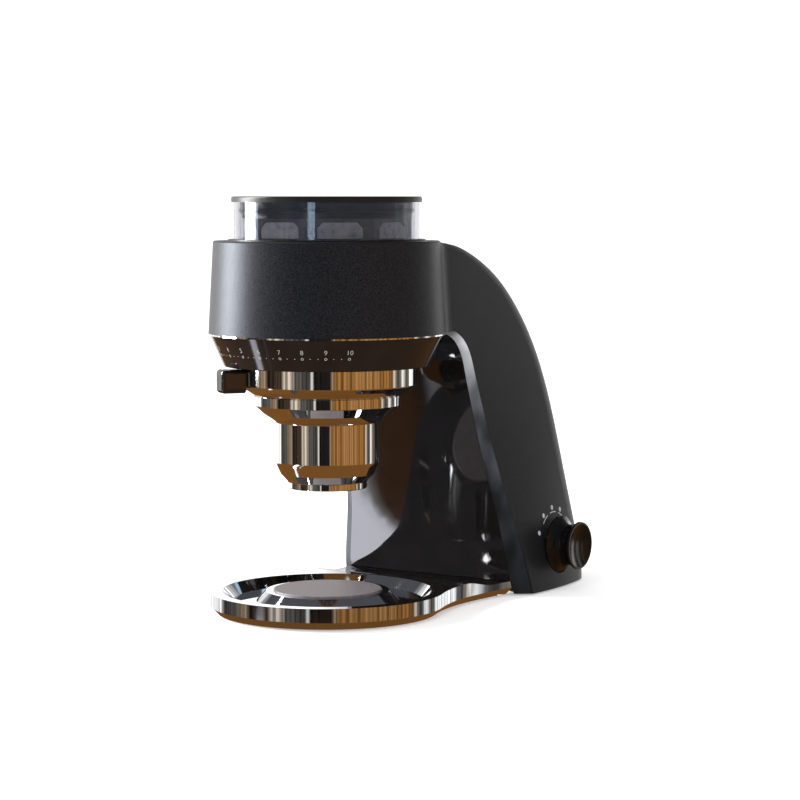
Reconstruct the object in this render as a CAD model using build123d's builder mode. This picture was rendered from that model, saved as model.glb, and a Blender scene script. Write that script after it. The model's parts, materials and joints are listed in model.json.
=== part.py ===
"""Burr coffee grinder with a round head on a swept-back neck, a chrome outlet and a chrome tray.

Millimetres, +Z up. The origin is on the surface that the grinder stands on, under the burr axis.
The front is -Y. Hopper, head, dial, collar, outlet and tray all share the axis X = Y = 0.
"""
import math
import os

from build123d import *

os.makedirs("parts", exist_ok=True)

# ------------------------------------------------------------ driving dimensions
# base and tray
BASE_Z = 0.8  # underside of the casting, carried on rubber feet
TRAY_R = 65.0
TRAY_CHAMFER = 4.2
RIM_Z = 12.6
RIM_IN_R = 58.3
MOAT_R = 53.0
MOAT_Z = 7.0
STEP_FOOT_R = 39.5
STEP_R = 34.0
NECK_TOP_Z = 8.7
NECK_END_Y = 104.0
NECK_END_W = 56.4  # half width where the neck goes under the panel
MAT_R = 30.0
MAT_Z = (10.9, 13.5)
REAR_PLATE_TOP = 5.0

# head, dial, collar and outlet, from the top down
LID_R = 52.2
LID_Z = (226.4, 229.6)
HOPPER_R = 51.0
HOPPER_WALL = 2.4
HOPPER_Z = (190.3, 226.3)
HEAD_R = (65.0, 62.3)  # bottom, top
HEAD_Z = (155.0, 205.5)
HEAD_EDGE = 0.7  # broken edge round the top of the head
WALL = 3.0
SEAT_R = 52.5
DIAL_R = (56.9, 64.2)
DIAL_Z = (137.2, 154.2)
COLLAR_R = 49.4
COLLAR_Z = (126.8, 141.2)
COLLAR_FOOT_Z = 121.5
SLEEVE_BORE_R = 40.3
RING2_R = 40.7
RING2_Z = (115.4, 121.2)
BELL_R = 28.6
BELL_Z = (83.5, 106.5)
LIP_R = 21.9
LIP_Z = (69.6, 73.5)
FIT = 0.1  # radial clearance of a sliding or running fit
SNUG = 0.02  # radial clearance between pieces that are pressed together

# gear train
MODULE = 1.0
TEETH = {"driven": 68, "idler": 52, "pinion": 16}
GEAR_Z = (163.4, 169.4)
FLOOR_Z = (158.0, 162.0)
COVER_Z = (171.0, 173.5)
IDLER_Y = MODULE * (TEETH["driven"] + TEETH["idler"]) / 2
MOTOR_Y = IDLER_Y + MODULE * (TEETH["idler"] + TEETH["pinion"]) / 2
MOTOR_R = 20.0
MOTOR_Z = (127.5, 158.0)
SPINDLE_R = 4.0
BEARING_R = 8.0

# grind adjustment
LEVER_ANGLE = -90 - 33.5  # from +X, so 33.5 degrees from the front towards -X
LEVER_Z = (123.4, 136.4)
LEVER_R = 62.6
LEVER_W = 12.0
LEVER_SCREW_Z = 130.3
LEVER_SCREW_R = (2.2, 1.25)  # head, shank

# knob on the right side
KNOB_Y = 146.0
KNOB_Z = 26.0
KNOB_X = 62.6

# The housing is a fan of sections. Each one stands on the arch line (front) and reaches the spine
# (back), so the planes turn from upright in the head to flat at the foot. Each row holds: arch y, z;
# spine y, z; panel half width; side half width at the front; trim depth; side half width at the back;
# back corner radius; half turn of the side's curve in degrees.
STATIONS = [
    (8.0, 155.0, 8.0, 205.3, 51.0, 52.2, 1.2, 52.0, 1.2, 0.4),
    (30.0, 155.0, 34.0, 205.3, 50.4, 52.0, 1.6, 51.8, 1.5, 0.4),
    (45.0, 153.4, 56.5, 203.6, 49.3, 51.8, 2.4, 51.5, 3.5, 0.5),
    (55.8, 148.2, 79.5, 197.0, 48.3, 51.6, 3.2, 50.8, 6.0, 1.0),
    (62.3, 141.0, 100.7, 188.0, 47.8, 51.4, 3.6, 50.3, 9.0, 1.5),
    (67.0, 130.5, 123.0, 174.0, 47.4, 51.3, 3.8, 50.0, 13.0, 2.0),
    (73.0, 115.0, 144.0, 155.0, 47.1, 51.4, 4.0, 50.0, 17.0, 2.5),
    (80.6, 95.0, 162.5, 129.5, 47.1, 51.9, 4.4, 50.8, 21.0, 3.0),
    (89.4, 70.0, 179.0, 93.0, 48.3, 53.9, 4.9, 53.0, 26.0, 4.0),
    (97.3, 40.0, 193.0, 47.0, 51.9, 58.9, 5.8, 57.0, 31.0, 6.0),
    (105.2, 1.0, 201.5, 1.0, 56.9, 65.5, 7.2, 61.8, 36.0, 8.0),
]
PANEL_T = 2.2
PANEL_GAP = 0.2
PANEL_SAG = 1.2
TRIM_T = 1.8
TRIM_GAP = 0.15
BACK_TURN = 4.0  # half turn of the back's gentle curve, degrees
BLEND_R = 25.0  # concave blend between the round head and the neck's sides
BLEND_X = 51.9


# ------------------------------------------------------------ housing sections
def station_plane(row):
    """Plane of one section: local x is X, local y runs from the arch line to the spine."""
    arch_y, arch_z, spine_y, spine_z = row[:4]
    reach = math.hypot(spine_y - arch_y, spine_z - arch_z)
    along_y = (spine_y - arch_y) / reach
    along_z = (spine_z - arch_z) / reach
    return Plane(origin=(0, arch_y, arch_z), x_dir=(1, 0, 0), z_dir=(0, -along_z, along_y))


def back_outline(row, start, inset):
    """Right half of a section's side, back corner and back: points for three arcs."""
    reach = math.hypot(row[2] - row[0], row[3] - row[1]) - inset
    width = row[7] - inset
    radius = max(row[8] - inset, 0.8)
    back_turn = math.radians(BACK_TURN)
    half_turn = math.radians(row[9])
    lean = 0.0
    end_y = reach - radius
    for _ in range(3):
        corner_x = width - radius * math.cos(lean) + radius * math.sin(back_turn)
        bulge = corner_x * math.tan(back_turn / 2)
        end_y = reach - bulge - radius * math.cos(back_turn) + radius * math.sin(lean)
        chord_lean = math.atan2(start[0] - width, end_y - start[1])
        lean = chord_lean + half_turn
    chord = math.hypot(start[0] - width, end_y - start[1])
    sag = chord / 2 * math.tan(half_turn / 2)
    side_mid = (
        (start[0] + width) / 2 + sag * math.cos(chord_lean),
        (start[1] + end_y) / 2 + sag * math.sin(chord_lean),
    )
    side_end = (width, end_y)
    centre = (width - radius * math.cos(lean), end_y - radius * math.sin(lean))
    middle = (lean + math.pi / 2 - back_turn) / 2
    corner_mid = (centre[0] + radius * math.cos(middle), centre[1] + radius * math.sin(middle))
    corner_end = (centre[0] + radius * math.sin(back_turn), centre[1] + radius * math.cos(back_turn))
    return side_mid, side_end, corner_mid, corner_end, (0, reach)


def mirrored(point):
    return (-point[0], point[1])


def section(row, front_points, inset):
    """One closed section: front points (right half, centre outwards), then round the back."""
    start = front_points[-1]
    side_mid, side_end, corner_mid, corner_end, back = back_outline(row, start, inset)
    with BuildSketch(station_plane(row)) as outline:
        with BuildLine():
            Line(mirrored(front_points[0]), front_points[0])
            for a, b in zip(front_points, front_points[1:]):
                Line(a, b)
                Line(mirrored(a), mirrored(b))
            for flip in (lambda p: p, mirrored):
                ThreePointArc(flip(start), flip(side_mid), flip(side_end))
                ThreePointArc(flip(side_end), flip(corner_mid), flip(corner_end))
            ThreePointArc(corner_end, back, mirrored(corner_end))
        make_face()
    return outline.sketch


def trim_corners(row):
    """Edge strip corners: panel side, flank side, then both moved inwards by the strip's thickness."""
    panel_w, side_w, depth = row[4:7]
    width = math.hypot(side_w - panel_w, depth)
    inward = (-depth / width, (side_w - panel_w) / width)
    front = (panel_w, 0.0)
    flank = (side_w, depth)
    deep_front = (front[0] + TRIM_T * inward[0], TRIM_T * inward[1])
    deep_flank = (flank[0] + TRIM_T * inward[0], flank[1] + TRIM_T * inward[1])
    return front, flank, deep_flank, deep_front, inward


def housing_front(row):
    """Front of the housing section, stepped back behind the panel and the edge strip."""
    front, flank, deep_flank, _, inward = trim_corners(row)
    lift = 0.2
    notch = (deep_flank[0] + TRIM_GAP * inward[0], deep_flank[1] + TRIM_GAP * inward[1] + lift)
    slope = (flank[0] - front[0]) / (flank[1] - front[1])
    wall_v = PANEL_T + PANEL_GAP
    foot = (notch[0] - slope * (notch[1] - wall_v), wall_v)
    return [foot, notch, (flank[0], flank[1] + lift)]


def hollow_front(row):
    """Front of the space inside the housing, one wall further in."""
    wall_v = PANEL_T + PANEL_GAP + WALL
    return [(row[4] - WALL - 1.5, wall_v), (row[5] - WALL, row[6] + WALL + 1.5)]


def cylinder_between(radius, low, high, mode=Mode.ADD):
    """Upright cylinder on the burr axis from one height to another."""
    with Locations((0, 0, low)):
        Cylinder(radius, high - low, align=(Align.CENTER, Align.CENTER, Align.MIN), mode=mode)


def box_between(low, high, mode=Mode.ADD):
    """Box between two corners."""
    size = [b - a for a, b in zip(low, high)]
    with Locations(low):
        Box(*size, align=(Align.MIN, Align.MIN, Align.MIN), mode=mode)


def revolved(points, mode=Mode.ADD):
    """Ring or disc turned about Z from its half section of (radius, height) points."""
    with BuildSketch(Plane.XZ) as half:
        Polygon(*points, align=None)
    revolve(half.sketch, axis=Axis.Z, mode=mode)


def gear_sketch(teeth, module, turn=0.0, backlash=0.25):
    """Involute spur gear outline, 20 degree pressure angle, with a tooth centred on angle turn."""
    pitch_r = module * teeth / 2
    base_r = pitch_r * math.cos(math.radians(20))
    root_r = pitch_r - 1.25 * module
    tip_r = pitch_r + 0.95 * module

    def involute(radius):
        roll = math.acos(min(1.0, base_r / radius))
        return math.tan(roll) - roll

    half_pitch = math.pi / (2 * teeth) - backlash / (2 * pitch_r) + involute(pitch_r)
    start_r = max(base_r, root_r)
    radii = [start_r + (tip_r - start_r) * k / 4 for k in range(5)]
    flank = [(radius, half_pitch - involute(radius)) for radius in radii]
    if root_r < start_r:
        flank.insert(0, (root_r, flank[0][1]))
    points = []
    for tooth in range(teeth):
        centre = math.radians(turn) + 2 * math.pi * tooth / teeth
        points += [(radius, centre - half) for radius, half in flank]
        points += [(radius, centre + half) for radius, half in reversed(flank)]
    with BuildSketch() as outline:
        Polygon(*[(r * math.cos(a), r * math.sin(a)) for r, a in points], align=None)
    return outline.sketch


def gearbox_outline(grow):
    """Plan of the gearbox: round the three gears, joined by straight tangents."""
    with BuildSketch() as plan:
        Circle(38.0 + grow)
        with Locations((0, IDLER_Y)):
            Circle(29.3 + grow)
        with Locations((0, MOTOR_Y)):
            Circle(13.5 + grow)
        make_hull()
    return plan.sketch


def ring_openings(inner, outer, bars, bar_width):
    """Ring-shaped window crossed by straight bars."""
    with BuildSketch() as windows:
        Circle(outer)
        Circle(inner, mode=Mode.SUBTRACT)
        for k in range(bars):
            with Locations(Rotation(0, 0, 90 + 360 * k / bars)):
                Rectangle(outer + 5, bar_width, align=(Align.MIN, Align.CENTER), mode=Mode.SUBTRACT)
    return windows.sketch


def prism(sketch, low, high, mode=Mode.ADD):
    """Flat sketch carried from one height to another."""
    extrude(sketch.moved(Location((0, 0, low))), amount=high - low, dir=(0, 0, 1), mode=mode)


def screw_group(places, head_z, head_r, head_h, shank_r, shank_l, up):
    """Row of identical screws on upright axes: pan head with a cross slot, shank towards the work."""
    for x, y in places:
        sign = 1 if up else -1
        with Locations((x, y, head_z)):
            low = Align.MIN if up else Align.MAX
            Cylinder(head_r, head_h, align=(Align.CENTER, Align.CENTER, low))
        with Locations((x, y, head_z + sign * head_h / 3)):
            high = Align.MAX if up else Align.MIN
            Cylinder(shank_r, shank_l + head_h / 3, align=(Align.CENTER, Align.CENTER, high))
        for turn in (0, 90):
            with Locations(Location((x, y, head_z + sign * head_h), (0, 0, turn))):
                Box(head_r * 1.2, 0.7, 1.2, mode=Mode.SUBTRACT)


HEAD_CLEAR_R = HEAD_R[0] + 0.35
HOPPER_IN_R = HOPPER_R - HOPPER_WALL

# ------------------------------------------------------------ housing and its skins
with BuildPart() as outer_body:
    loft([section(row, housing_front(row), 0.0) for row in STATIONS])
    revolved(
        [
            (0, HEAD_Z[0]),
            (HEAD_R[0], HEAD_Z[0]),
            (HEAD_R[1], HEAD_Z[1] - HEAD_EDGE),
            (HEAD_R[1] - HEAD_EDGE, HEAD_Z[1]),
            (0, HEAD_Z[1]),
        ]
    )

with BuildPart() as head_blends:
    for side in (1, -1):
        faces = []
        for head_radius, height in zip(HEAD_R, HEAD_Z):
            centre = (BLEND_X + BLEND_R, math.sqrt((head_radius + BLEND_R) ** 2 - (BLEND_X + BLEND_R) ** 2))
            on_head = [c * head_radius / (head_radius + BLEND_R) for c in centre]
            on_side = (BLEND_X, centre[1])
            towards_head = math.atan2(on_head[1] - centre[1], on_head[0] - centre[0]) % (2 * math.pi)
            middle = (towards_head + math.pi) / 2
            deepest = (centre[0] + BLEND_R * math.cos(middle), centre[1] + BLEND_R * math.sin(middle))
            with BuildSketch(Plane.XY.offset(height)) as blend_face:
                with BuildLine():
                    ThreePointArc(
                        (side * on_head[0], on_head[1]),
                        (side * deepest[0], deepest[1]),
                        (side * on_side[0], on_side[1]),
                    )
                    Line((side * on_side[0], on_side[1]), (side * 50.5, 37))
                    Line((side * 50.5, 37), (side * 50.5, 30))
                    Line((side * 50.5, 30), (side * on_head[0], on_head[1]))
                make_face()
            faces.append(blend_face.sketch)
        loft(faces)
    with Locations(Location((0, 22, HEAD_Z[1]), (-5.2, 0, 0))):
        Box(140, 70, 10, align=(Align.CENTER, Align.MIN, Align.MIN), mode=Mode.SUBTRACT)

with BuildPart() as hollow:
    loft([section(row, hollow_front(row), WALL) for row in STATIONS])
    cylinder_between(HEAD_CLEAR_R + WALL, 100, HEAD_Z[0] + WALL, mode=Mode.SUBTRACT)
    cylinder_between(HEAD_R[1] - WALL, HEAD_Z[0] + WALL, HEAD_Z[1] - WALL)

HOUSING_BOSSES = [(57.4, 126.0), (-57.4, 126.0), (46.5, 184.5), (-46.5, 184.5)]
SKIRT_R = (34.3, 37.8)
INLET_Z = 24.0
DIAL_BOLTS = [(0.0, -52.0), (48.9, 17.8), (-48.9, 17.8)]
LUGS = [(43.5, 4.0), (-43.5, 4.0), (41.0, 34.0), (-41.0, 34.0)]  # hold the gearbox to the head's floor

with BuildPart() as housing:
    add(outer_body.part)
    add(head_blends.part)
    add(hollow.part, mode=Mode.SUBTRACT)
    with Locations(*[(x, y, REAR_PLATE_TOP + 0.3) for x, y in HOUSING_BOSSES]):
        Cylinder(4.2, 12, align=(Align.CENTER, Align.CENTER, Align.MIN))
    with Locations(*[(x, y, REAR_PLATE_TOP) for x, y in HOUSING_BOSSES]):
        Cylinder(1.6, 9, align=(Align.CENTER, Align.CENTER, Align.MIN), mode=Mode.SUBTRACT)
    # openings: hopper seat, gearbox skirt, clearance round dial, service window, neck, knob and inlet
    cylinder_between(SEAT_R + 0.1, HEAD_Z[1] - 5, HEAD_Z[1] + 2, mode=Mode.SUBTRACT)
    cylinder_between(SKIRT_R[1] + 0.3, HEAD_Z[0] - 1, HEAD_Z[0] + WALL + 1, mode=Mode.SUBTRACT)
    cylinder_between(HEAD_CLEAR_R, 100, HEAD_Z[0], mode=Mode.SUBTRACT)
    box_between((-38, 70, 22), (38, 118, 118), mode=Mode.SUBTRACT)
    box_between((-NECK_END_W - 0.4, 90, 0), (NECK_END_W + 0.4, 116, NECK_TOP_Z + 0.3), mode=Mode.SUBTRACT)
    with Locations(Location((50, KNOB_Y, KNOB_Z), (0, 90, 0))):
        Cylinder(4.7, 30, align=(Align.CENTER, Align.CENTER, Align.MIN), mode=Mode.SUBTRACT)
    with Locations(Location((KNOB_X + 0.3, KNOB_Y, KNOB_Z), (0, 90, 0))):
        Cylinder(17.2, 10, align=(Align.CENTER, Align.CENTER, Align.MIN), mode=Mode.SUBTRACT)
    box_between((-14.2, 184, INLET_Z - 10.2), (14.2, 205, INLET_Z + 10.2), mode=Mode.SUBTRACT)
    with Locations(*[(x, y, HEAD_Z[0] - 1) for x, y in DIAL_BOLTS + LUGS]):
        Cylinder(1.6, WALL + 2, align=(Align.CENTER, Align.CENTER, Align.MIN), mode=Mode.SUBTRACT)
housing.part.label = "housing"
export_step(housing.part, "parts/housing.step")

with BuildPart() as front_panel:
    panel_faces = []
    for row in STATIONS:
        front, _, _, _, inward = trim_corners(row)
        edge = front[0] - TRIM_GAP
        reach = PANEL_T / inward[1]
        back_edge = edge + reach * inward[0]
        with BuildSketch(station_plane(row)) as panel_face:
            with BuildLine():
                ThreePointArc((edge, 0), (0, -PANEL_SAG), (-edge, 0))
                Line((-edge, 0), (-back_edge, PANEL_T))
                ThreePointArc((-back_edge, PANEL_T), (0, PANEL_T - PANEL_SAG), (back_edge, PANEL_T))
                Line((back_edge, PANEL_T), (edge, 0))
            make_face()
        panel_faces.append(panel_face.sketch)
    loft(panel_faces)
    cylinder_between(HEAD_CLEAR_R, 100, 170, mode=Mode.SUBTRACT)
    box_between((-70, 80, -5), (70, 130, NECK_TOP_Z + 0.2), mode=Mode.SUBTRACT)
front_panel.part.label = "front_panel"
export_step(front_panel.part, "parts/front_panel.step")

with BuildPart() as arch_trim:
    for side in (1, -1):
        strip_faces = []
        for row in STATIONS:
            corners = [(side * x, y) for x, y in trim_corners(row)[:4]]
            with BuildSketch(station_plane(row)) as strip_face:
                with BuildLine():
                    Polyline(*corners, close=True)
                make_face()
            strip_faces.append(strip_face.sketch)
        loft(strip_faces)
    cylinder_between(HEAD_CLEAR_R, 100, 170, mode=Mode.SUBTRACT)
    add(head_blends.part, mode=Mode.SUBTRACT)
    box_between((-NECK_END_W - 0.2, 95, 0), (NECK_END_W + 0.2, 116, NECK_TOP_Z + 0.2), mode=Mode.SUBTRACT)
arch_trim.part.label = "arch_trim"
export_step(arch_trim.part, "parts/arch_trim.step")

# ------------------------------------------------------------ base
REAR_ROW = STATIONS[-1]
FEET = [(45 * math.cos(math.radians(a)), 45 * math.sin(math.radians(a))) for a in (-150, -90, -30)]
COVER_SCREWS = [(38.0, 30.0), (-38.0, 30.0), (36.0, 145.0), (-36.0, 145.0), (24.0, -43.0), (-24.0, -43.0)]
COVER_SCREW_R = 1.25
FEET += [(33.5, 170.0), (-33.5, 170.0), (0.0, 0.0)]
NECK_ANGLE = math.radians(20)
NECK_WAIST = (53.4, 64.0)
NECK_START = (TRAY_R * math.cos(NECK_ANGLE), TRAY_R * math.sin(NECK_ANGLE))


def rear_plate(inset):
    """Plan of the plate that closes the housing's foot."""
    front_points = [(x - inset, y + inset) for x, y in hollow_front(REAR_ROW)]
    return section(REAR_ROW, front_points, WALL + inset)


with BuildPart() as base_casting:
    with BuildSketch(Plane.XY.offset(BASE_Z)):
        with BuildLine():
            ThreePointArc(NECK_START, (0, -TRAY_R), mirrored(NECK_START))
            for side in (1, -1):
                waist = (side * NECK_WAIST[0], NECK_WAIST[1])
                start = (side * NECK_START[0], NECK_START[1])
                TangentArc(waist, start, tangent=(0, -1))
                end = (side * NECK_END_W, NECK_END_Y)
                TangentArc(waist, end, tangent=(0, 1))
            Line((NECK_END_W, NECK_END_Y), (-NECK_END_W, NECK_END_Y))
        make_face()
    extrude(amount=RIM_Z - BASE_Z)
    low_edges = base_casting.faces().sort_by(Axis.Z)[0].edges()
    chamfer(low_edges.filter_by(lambda e: e.center().Y < NECK_END_Y - 1), TRAY_CHAMFER)
    with BuildSketch(Plane.YZ.offset(-80)):
        with BuildLine():
            Line((RIM_IN_R, RIM_Z), (RIM_IN_R, RIM_Z + 5))
            Line((RIM_IN_R, RIM_Z + 5), (120, RIM_Z + 5))
            Line((120, RIM_Z + 5), (120, NECK_TOP_Z))
            Line((120, NECK_TOP_Z), (88, NECK_TOP_Z))
            Spline((88, NECK_TOP_Z), (RIM_IN_R, RIM_Z), tangents=[(-1, 0), (-1, 0)])
        make_face()
    extrude(amount=160, mode=Mode.SUBTRACT)
    # plate that closes the foot of the housing, and the tongue that joins it to the neck
    tongue_w = NECK_END_W - TRAY_CHAMFER - 0.4
    box_between((-tongue_w, 95, BASE_Z), (tongue_w, 112, REAR_PLATE_TOP))
    plate_plan = rear_plate(1.3).moved(Location((0, 0, BASE_Z - REAR_ROW[1])))
    extrude(plate_plan, amount=REAR_PLATE_TOP - BASE_Z, dir=(0, 0, 1))
    # moat round the cup, recess for the mat, and the hollow underside
    revolved(
        [
            (STEP_R, RIM_Z),
            (STEP_FOOT_R, MOAT_Z),
            (MOAT_R, MOAT_Z),
            (RIM_IN_R, RIM_Z),
            (RIM_IN_R, 20),
            (STEP_R, 20),
        ],
        mode=Mode.SUBTRACT,
    )
    cylinder_between(MAT_R + 0.2, MAT_Z[0], 20, mode=Mode.SUBTRACT)
    cylinder_between(54.0, 0, 4.2, mode=Mode.SUBTRACT)
    cylinder_between(31.0, 0, 8.4, mode=Mode.SUBTRACT)
    box_between((-45, 20, 0), (45, 96, 4.2), mode=Mode.SUBTRACT)
    box_between((-42, 96, 0), (42, 185, 2.8), mode=Mode.SUBTRACT)
    round_edges = base_casting.edges().filter_by(GeomType.CIRCLE)
    fillet(round_edges.filter_by(lambda e: abs(e.radius - RIM_IN_R) < 0.1), 0.5)
    with Locations(*[Location((x, y, BASE_Z), (180, 0, 0)) for x, y in HOUSING_BOSSES]):
        CounterBoreHole(1.7, 3.2, 1.4, depth=10)
    with Locations(*[(x, y, 0) for x, y in COVER_SCREWS]):
        Cylinder(COVER_SCREW_R + SNUG, 6.4, align=(Align.CENTER, Align.CENTER, Align.MIN), mode=Mode.SUBTRACT)
base_casting.part.label = "base_casting"
export_step(base_casting.part, "parts/base_casting.step")

with BuildPart() as bottom_cover:
    with BuildSketch(Plane.XY.offset(BASE_Z)):
        Circle(53.7)
        with Locations((0, 20)):
            Rectangle(89.4, 75.7, align=(Align.CENTER, Align.MIN))
        with Locations((0, 90)):
            Rectangle(83.4, 94.7, align=(Align.CENTER, Align.MIN))
    extrude(amount=1.8)
    with Locations(*[(x, y, 0) for x, y in FEET]):
        Cylinder(7.0, 1.6, align=(Align.CENTER, Align.CENTER, Align.MIN), mode=Mode.SUBTRACT)
    with Locations((0, 118, 0)):
        with GridLocations(0, 6, 1, 5):
            Box(40, 2, 10, mode=Mode.SUBTRACT)
    with Locations(*[Location((x, y, BASE_Z), (180, 0, 0)) for x, y in COVER_SCREWS]):
        CounterBoreHole(COVER_SCREW_R + 0.25, 2.6, 0.9, depth=5)
bottom_cover.part.label = "bottom_cover"
export_step(bottom_cover.part, "parts/bottom_cover.step")

with BuildPart() as feet:
    with Locations(*[(x, y, 0) for x, y in FEET]):
        Cylinder(6.9, 1.6, align=(Align.CENTER, Align.CENTER, Align.MIN))
feet.part.label = "feet"
export_step(feet.part, "parts/feet.step")

with BuildPart() as cup_mat:
    cylinder_between(MAT_R, *MAT_Z)
    fillet(cup_mat.edges().group_by(Axis.Z)[-1], 0.5)
cup_mat.part.label = "cup_mat"
export_step(cup_mat.part, "parts/cup_mat.step")

with BuildPart() as ballast_plate:
    box_between((-36, 110.5, REAR_PLATE_TOP), (36, 182, REAR_PLATE_TOP + 5))
    with Locations((0, 145, REAR_PLATE_TOP)):
        with GridLocations(72, 0, 2, 1):
            Cylinder(4.0, 20, mode=Mode.SUBTRACT)
ballast_plate.part.label = "ballast_plate"
export_step(ballast_plate.part, "parts/ballast_plate.step")

# ------------------------------------------------------------ lid and hopper
PLUG_R = HOPPER_IN_R - 1.4
SEAL_SEAT_R = HOPPER_IN_R - 2.6
SEAL_Z = (221.0, 223.0)
with BuildPart() as hopper_lid:
    cylinder_between(LID_R, *LID_Z)
    cylinder_between(PLUG_R, 220.0, LID_Z[0])
    cylinder_between(PLUG_R - 3, 215, LID_Z[0] + 0.8, mode=Mode.SUBTRACT)
    cylinder_between(LID_R, *SEAL_Z, mode=Mode.SUBTRACT)
    cylinder_between(SEAL_SEAT_R, *SEAL_Z)
    cylinder_between(PLUG_R - 3, *SEAL_Z, mode=Mode.SUBTRACT)
    fillet(hopper_lid.edges().group_by(Axis.Z)[-1], 1.1)
hopper_lid.part.label = "hopper_lid"
export_step(hopper_lid.part, "parts/hopper_lid.step")

with BuildPart() as lid_seal:
    revolved(
        [
            (SEAL_SEAT_R, SEAL_Z[0]),
            (PLUG_R, SEAL_Z[0]),
            (HOPPER_IN_R - FIT, SEAL_Z[0] + 1),
            (PLUG_R, SEAL_Z[1]),
            (SEAL_SEAT_R, SEAL_Z[1]),
        ]
    )
lid_seal.part.label = "lid_seal"
export_step(lid_seal.part, "parts/lid_seal.step")

FUNNEL_R = 46.6
FUNNEL_Z = (HOPPER_Z[0] + 2.0, 218.6)
THROAT_R = 21.0
with BuildPart() as hopper:
    cylinder_between(HOPPER_R, *HOPPER_Z)
    cylinder_between(HOPPER_IN_R, HOPPER_Z[0] + 2.0, 230, mode=Mode.SUBTRACT)
    cylinder_between(THROAT_R + 1.0, 180, 230, mode=Mode.SUBTRACT)
hopper.part.label = "hopper"
export_step(hopper.part, "parts/hopper.step")

with BuildPart() as bean_funnel:
    with BuildSketch(Plane.XY.offset(FUNNEL_Z[0])):
        RegularPolygon(FUNNEL_R, 8, rotation=22.5)
    extrude(amount=FUNNEL_Z[1] - FUNNEL_Z[0])
    with BuildSketch(Plane.XY.offset(206)):
        RegularPolygon(FUNNEL_R - 2.2, 8, rotation=22.5)
    extrude(amount=20, mode=Mode.SUBTRACT)
    with BuildSketch(Plane.XY.offset(206)):
        RegularPolygon(FUNNEL_R - 2.2, 8, rotation=22.5)
    with BuildSketch(Plane.XY.offset(FUNNEL_Z[0])):
        RegularPolygon(THROAT_R, 8, rotation=22.5)
    loft(mode=Mode.SUBTRACT)
    # sloping underside, so the funnel is a shell
    with BuildSketch(Plane.XY.offset(FUNNEL_Z[0])):
        Circle(80)
        RegularPolygon(THROAT_R + 3.4, 8, rotation=22.5, mode=Mode.SUBTRACT)
    with BuildSketch(Plane.XY.offset(203)):
        Circle(80)
        RegularPolygon(FUNNEL_R - 0.4, 8, rotation=22.5, mode=Mode.SUBTRACT)
    loft(mode=Mode.SUBTRACT)
    # recessed trapezoid windows with clipped top corners, one on each side
    for k in range(8):
        out_x, out_y = math.cos(math.radians(45 * k)), math.sin(math.radians(45 * k))
        flat_r = FUNNEL_R * math.cos(math.radians(22.5))
        window_centre = (flat_r * out_x, flat_r * out_y, 211.2)
        side_plane = Plane(origin=window_centre, x_dir=(-out_y, out_x, 0), z_dir=(out_x, out_y, 0))
        with BuildSketch(side_plane):
            half_window = [(12.5, -4.4), (12.5, 1.6), (9.3, 4.8)]
            Polygon(*half_window, *[mirrored(point) for point in reversed(half_window)], align=None)
        extrude(amount=-1.2, mode=Mode.SUBTRACT)
bean_funnel.part.label = "bean_funnel"
export_step(bean_funnel.part, "parts/bean_funnel.step")

with BuildPart() as hopper_seat:
    revolved(
        [
            (23.5, 174.5),
            (25.5, 174.5),
            (25.5, 187.0),
            (SEAT_R, 187.0),
            (SEAT_R, HEAD_Z[1]),
            (54.0, HEAD_Z[1]),
            (54.0, HEAD_Z[1] + 0.9),
            (51.3, HEAD_Z[1] + 0.9),
            (51.3, 189.8),
            (23.5, 189.8),
        ]
    )
hopper_seat.part.label = "hopper_seat"
export_step(hopper_seat.part, "parts/hopper_seat.step")

# ------------------------------------------------------------ dial, collar, lever and outlet
RING_IN_R = SKIRT_R[1] + 0.4
with BuildPart() as head_trim_ring:
    revolved([(RING_IN_R, DIAL_Z[1]), (65.1, DIAL_Z[1]), (65.1, HEAD_Z[0]), (RING_IN_R, HEAD_Z[0])])
    with Locations(*[(x, y, HEAD_Z[0]) for x, y in DIAL_BOLTS]):
        Cylinder(1.6, 4, mode=Mode.SUBTRACT)
head_trim_ring.part.label = "head_trim_ring"
export_step(head_trim_ring.part, "parts/head_trim_ring.step")

COLLAR_BORE_R = COLLAR_R + 0.6
DIAL_SCREW_R = 1.25
with BuildPart() as dial_ring:
    revolved(
        [
            (COLLAR_BORE_R, DIAL_Z[0]),
            (DIAL_R[0] - 0.4, DIAL_Z[0]),
            (DIAL_R[0], DIAL_Z[0] + 0.4),
            (DIAL_R[1], DIAL_Z[1]),
            (RING_IN_R, DIAL_Z[1]),
            (RING_IN_R, DIAL_Z[1] - 3),
            (60.0, DIAL_Z[1] - 3),
            (54.6, COLLAR_Z[1] + 1.4),
            (COLLAR_BORE_R, COLLAR_Z[1] + 1.4),
        ]
    )
    with Locations(*[(x, y, DIAL_Z[1]) for x, y in DIAL_BOLTS]):
        Cylinder(DIAL_SCREW_R + SNUG, 8, mode=Mode.SUBTRACT)
dial_ring.part.label = "dial_ring"
export_step(dial_ring.part, "parts/dial_ring.step")

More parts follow.
